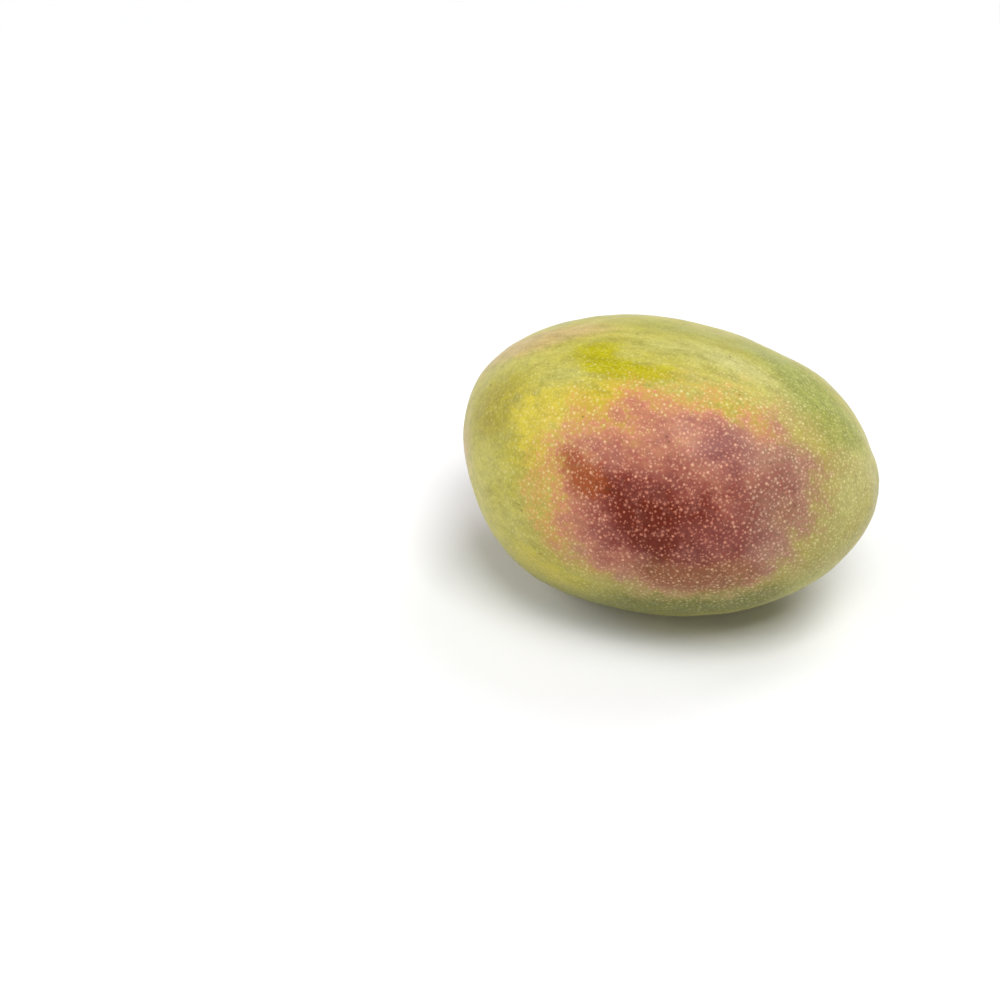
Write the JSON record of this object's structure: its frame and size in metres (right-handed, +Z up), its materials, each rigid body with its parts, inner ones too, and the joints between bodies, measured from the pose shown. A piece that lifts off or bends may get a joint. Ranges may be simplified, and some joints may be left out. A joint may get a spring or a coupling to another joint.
{
  "type": "mango",
  "caption": "Whole ripe mango with green skin, a speckled red blush and a short stem stub, lying on its cheek on a small flat spot.",
  "frame": {"origin": "middle of the small flat spot on the cheek that the fruit rests on", "axes": "+X from the stem end to the tip, along the fruit; -Y towards the fuller back; +Z up, through the thickness from cheek to cheek"},
  "size_m": [0.127, 0.0916, 0.0813],
  "materials": {
    "mango_skin": "satin waxy fruit skin, yellow-green with a red blush and pale dots",
    "stem_wood": "dry bark with a dark cut end"
  },
  "bodies": {
    "root": {"fruit": "mango_skin", "stem_stub": "stem_wood"}
  },
  "joints": []
}
